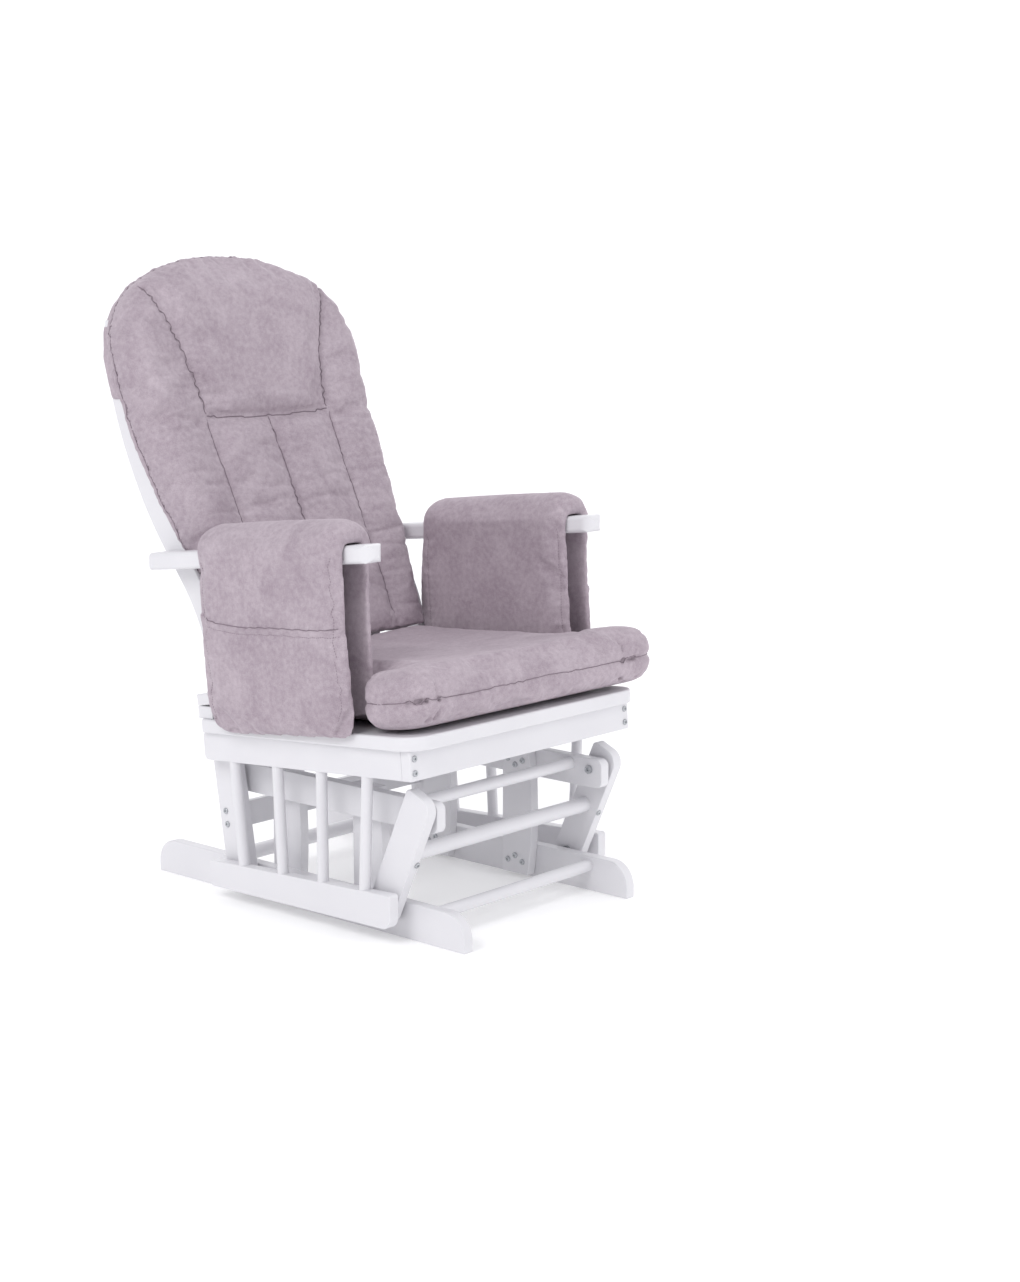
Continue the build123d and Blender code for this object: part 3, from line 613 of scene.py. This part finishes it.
half = rows * columns
faces = []
for i in range(rows - 1):
    for j in range(columns - 1):
        a, b, c, d = i * columns + j, i * columns + j + 1, (i + 1) * columns + j + 1, (i + 1) * columns + j
        faces.append((a, b, c, d))
        faces.append((half + d, half + c, half + b, half + a))
for i in range(rows - 1):
    a, d = i * columns, (i + 1) * columns
    faces.append((a, d, half + d, half + a))
    a, d = i * columns + columns - 1, (i + 1) * columns + columns - 1
    faces.append((d, a, half + a, half + d))
for j in range(columns - 1):
    faces.append((j + 1, j, half + j, half + j + 1))
    a = (rows - 1) * columns + j
    faces.append((a, a + 1, half + a + 1, half + a))

pocket_along = (-0.2, -0.12, -0.03, 0.04, 0.09, 0.135)
pocket_up = (-0.118, -0.119, -0.115, -0.114, -0.108, -0.096)
for side, name in ((-1, "right"), (1, "left")):
    local = np.array(points) * (side, 1, 1)
    pad = add_mesh("arm_pad_cover_" + name, bar_origin + local @ bar_axes, faces, suede)
    face_outward(pad)
    knit(pad, 0.0042)
    local = (points_of(pad) - bar_origin) @ bar_axes.T
    local[:, 0] = np.abs(local[:, 0])
    lined = np.min(np.linalg.norm(local[:, None, (0, 2)] - path[None, ::2, :2], axis=2), axis=1)
    held = np.where(lined < 0.004, 1.0, 0.0)
    stuff(pad, held, 1.6, 0.006, 0.02)

    def on_pad(spots, step=0.002):
        """A line on the pad from (across, along, up) points given for the left arm."""
        spots = smooth_line(np.array(spots) * (side, 1, 1), step)
        return on_cover(pad, bar_origin + spots @ bar_axes)

    # pocket: the cloth below the hem stands 2.6 mm proud of the flap, and the hem band a little more
    local = (points_of(pad) - bar_origin) @ bar_axes.T
    hem_at = np.interp(local[:, 1], pocket_along, pocket_up)
    outside = (np.abs(local[:, 0]) > 0.282) & (local[:, 2] < -0.05)
    below = ease((hem_at - local[:, 2]) / 0.003)
    band = np.exp(-((hem_at - 0.008 - local[:, 2]) / 0.006) ** 2)
    edges = ease((0.30 + local[:, 2]) / 0.02)
    shift = np.where(outside, 0.0026 * below * edges + 0.0016 * band, 0.0)
    world = points_of(pad)
    world[:, 0] += side * shift
    move_points(pad, world)
    alongs = (-0.19, -0.12, -0.03, 0.04, 0.09, 0.125)
    hem_line = on_pad([(0.31, y, float(np.interp(y, pocket_along, pocket_up))) for y in alongs])
    sew(pad, hem_line, 0.0022, 0.0022, 0, 0.01)
    second = hem_line + np.array((0, 0, -0.0125))
    second = on_cover(pad, second)
    sew(pad, second, 0.0012, 0.003, 0.0003, 0.02, 1.0)
    # the sewn edge runs about 10 mm inside the front and rear edges, down both flaps
    rows_of_stitches = [second]
    for end, lean_in, inset in ((pad_front, -0.040, 0.010), (pad_rear, -0.050, -0.012)):
        for across, low in ((0.31, -0.275), (0.215, -0.250)):
            ups = np.linspace(-0.02, low, 8)
            edge = on_pad([(across, end + lean_in * up + inset, up) for up in ups])
            sew(pad, edge, 0.0014, 0.003, 0.0006, 0.03, end * 9 + across)
            rows_of_stitches.append(edge)
    made = [pad, seam("pocket_hem_" + name, pad, hem_line, 0.0008),
            topstitch("arm_pad_stitches_" + name, pad, rows_of_stitches)]
    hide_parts("arm_pad_" + name)
    for piece in made:
        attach(piece, "seat")


# ---- back cushion -------------------------------------------------------------------------------
# One tall cushion with a sewn headrest panel, side wings and two channels below it. A stitched seam
# runs round it toward the rear, and a hood at the top slips over the back frame.
# each station gives the front point and the rear point (y, z), and the half width
stations = np.array((
    (0.0580, 0.4050, 0.092, 0.3990, 0.205), (0.0710, 0.4330, 0.113, 0.4210, 0.212),
    (0.0965, 0.4900, 0.138, 0.4740, 0.222), (0.1380, 0.5740, 0.196, 0.5540, 0.236),
    (0.1780, 0.6550, 0.250, 0.6360, 0.2480), (0.2110, 0.7220, 0.286, 0.7040, 0.2560),
    (0.2330, 0.7680, 0.307, 0.7520, 0.2600), (0.2480, 0.8100, 0.323, 0.8000, 0.2620),
    (0.2630, 0.8560, 0.342, 0.8500, 0.2610), (0.2770, 0.9050, 0.362, 0.9010, 0.2570),
    (0.2910, 0.9500, 0.376, 0.9480, 0.2350), (0.3040, 0.9860, 0.382, 0.9850, 0.1960),
    (0.3180, 1.0130, 0.380, 1.0130, 0.1380), (0.3330, 1.0290, 0.370, 1.0290, 0.0820),
    (0.3480, 1.0350, 0.359, 1.0360, 0.0250)))
hood_stations = np.array((
    (0.310, 0.800, 0.3700, 0.7990, 0.2390), (0.318, 0.830, 0.3780, 0.8280, 0.2420),
    (0.328, 0.870, 0.3860, 0.8680, 0.2440), (0.338, 0.915, 0.3900, 0.9140, 0.2380),
    (0.346, 0.955, 0.3900, 0.9540, 0.2160), (0.350, 0.986, 0.3880, 0.9850, 0.1800),
    (0.354, 1.008, 0.3840, 1.0080, 0.1280), (0.356, 1.020, 0.3780, 1.0200, 0.0700)))


def loft(name, stations, count, power, finish):
    """A closed skin through flattened loops, one for each station."""
    at = np.arange(len(stations))
    fine = np.linspace(0, len(stations) - 1, count)
    front = np.stack([np.interp(fine, at, stations[:, k]) for k in (0, 1, 4)], axis=1)
    back = np.stack([np.interp(fine, at, stations[:, k]) for k in (2, 3)], axis=1)
    around = np.linspace(0, 2 * math.pi, 73)[:-1]
    points, faces = [], []
    for (fy, fz, wide), (by, bz) in zip(front, back):
        for a in around:
            u = np.sign(math.cos(a)) * abs(math.cos(a)) ** (2 / power)
            v = np.sign(math.sin(a)) * abs(math.sin(a)) ** (2 / power)
            w = 0.5 - 0.5 * v
            points.append((u * wide, fy + (by - fy) * w, fz + (bz - fz) * w))
    n = len(around)
    for i in range(count - 1):
        for j in range(n):
            faces.append((i * n + j, i * n + (j + 1) % n, (i + 1) * n + (j + 1) % n, (i + 1) * n + j))
    faces.append(tuple(range(n))[::-1])
    faces.append(tuple(range((count - 1) * n, count * n)))
    made = add_mesh(name, points, faces, finish)
    face_outward(made)
    return made


back = loft("back_cushion_cover", stations, 120, 5.5, suede)
hood = loft("hood", hood_stations, 50, 5.0, suede)
joined = bmesh.new()
joined.from_mesh(back.data)
joined.from_mesh(hood.data)
joined.to_mesh(back.data)
joined.free()
bpy.data.objects.remove(hood)
knit(back, 0.0055)


def front_line(spots, step=0.002):
    """A line on the cushion's front from (x, z) points."""
    run = smooth_line(np.array([(x, -0.6, z) for x, z in spots]), step)
    return on_cover(back, run, (0, 1, 0))


head_side = [(0.204, 0.997), (0.190, 0.965), (0.175, 0.932), (0.161, 0.895), (0.150, 0.858),
             (0.143, 0.825), (0.138, 0.797), (0.137, 0.774)]
head_foot = [(-0.137, 0.774), (-0.07, 0.7705), (0.0, 0.7695), (0.07, 0.7705), (0.137, 0.774)]
channel = [(0.139, 0.768), (0.138, 0.72), (0.136, 0.65), (0.134, 0.56), (0.131, 0.43)]
middle_channel = [(0, 0.768), (0.001, 0.70), (0, 0.6), (0, 0.43)]


def both_sides(spots):
    """The same line on the cushion's right and left."""
    return [front_line([(side * x, z) for x, z in spots]) for side in (-1, 1)]


sewn = [front_line(head_foot), front_line(middle_channel)] + both_sides(head_side) + both_sides(channel)
start = points_of(back)
held = np.zeros(len(start))
for line in sewn:
    for begin in range(0, len(start), 6000):
        gap = np.linalg.norm(start[begin:begin + 6000, None] - line[None, ::2], axis=2).min(1)
        held[begin:begin + 6000] = np.maximum(held[begin:begin + 6000], np.where(gap < 0.0045, 1.0, 0.0))
rest_y = np.interp(start[:, 2], stations[:, 3], stations[:, 2])
held = np.maximum(held, np.where((start[:, 1] > rest_y - 0.012) & (start[:, 2] < 0.80), 1.0, 0.0))
held = np.maximum(held, np.where((start[:, 1] > 0.36) & (start[:, 2] > 0.80), 0.9, 0.0))
stuff(back, held, 3.2, 0.013, 0.035)

foot = front_line(head_foot)
uprights = both_sides(head_side)
sew(back, foot, 0.0060, 0.0090, 0.0, 0.03)
for k, line in enumerate(uprights):
    sew(back, line, 0.0048, 0.0045, 0.0010, 0.035, 1.7 * k)
low_lines = both_sides(channel)
for k, line in enumerate(low_lines):
    sew(back, line, 0.0036, 0.0042, 0.0008, 0.03, 0.9 * k)
centre = front_line([(0, 0.766), (0.001, 0.70), (0, 0.6), (0, 0.43)])
sew(back, centre, 0.0045, 0.0045, 0.0007, 0.03, 0.5)
# soft creases that run out from the headrest's lower corners, and two across the lower wings
for side in (-1, 1):
    for height, inner, depth in ((0.757, 0.142, 0.0032), (0.540, 0.140, 0.0022), (0.440, 0.136, 0.0022)):
        crease = front_line([(side * inner, height + 0.006), (side * 0.19, height + 0.001),
                             (side * 0.243, height - 0.004)])
        sew(back, crease, depth, 0.004, 0.0, 0.02)
    for x, z, length, turn in (
            (0.165, 0.800, 0.03, 0.15), (0.185, 0.822, 0.035, -0.05), (0.200, 0.780, 0.045, 0.2),
            (0.170, 0.742, 0.04, -0.1), (0.205, 0.72, 0.04, 0.12), (0.185, 0.862, 0.03, 0.1),
            (0.210, 0.69, 0.035, 0.1), (0.215, 0.652, 0.03, 0.05), (0.225, 0.84, 0.03, 0.1)):
        fold = front_line([(side * x - length / 2, z - turn * length / 2), (side * x, z + 0.001),
                           (side * x + length / 2, z + turn * length / 2)])
        sew(back, fold, 0.0016, 0.004, 0.0, 0.02)

# boxing seam down both sides and over the top, three quarters of the way to the rear
outline = []
for fy, fz, by, bz, wide in stations:
    along = np.array((by - fy, bz - fz))
    spot = np.array((fy, fz)) + along * 0.74
    outline.append((wide + 0.02, spot[0], spot[1]))
edge = [(-x, y, z) for x, y, z in outline] + [(x, y, z) for x, y, z in reversed(outline)]
edge = on_cover(back, smooth_line(edge, 0.003))
sew(back, edge, 0.0022, 0.0032, 0.0012, 0.022, 2.2)
made = [back, seam("headrest_seam", back, foot, 0.0010)]
for name, lines in (("headrest_side_seam", uprights), ("channel_seam", low_lines + [centre])):
    for k, line in enumerate(lines):
        made.append(seam("%s_%d" % (name, k + 1), back, line, 0.0007))
made.append(seam("boxing_seam", back, edge, 0.0008))
made.append(topstitch("boxing_stitches", back, [edge + np.array((0, -0.004, 0))], 0.006, 0.0034, 0.0009))
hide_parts("back_cushion")
for piece in made:
    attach(piece, "back")
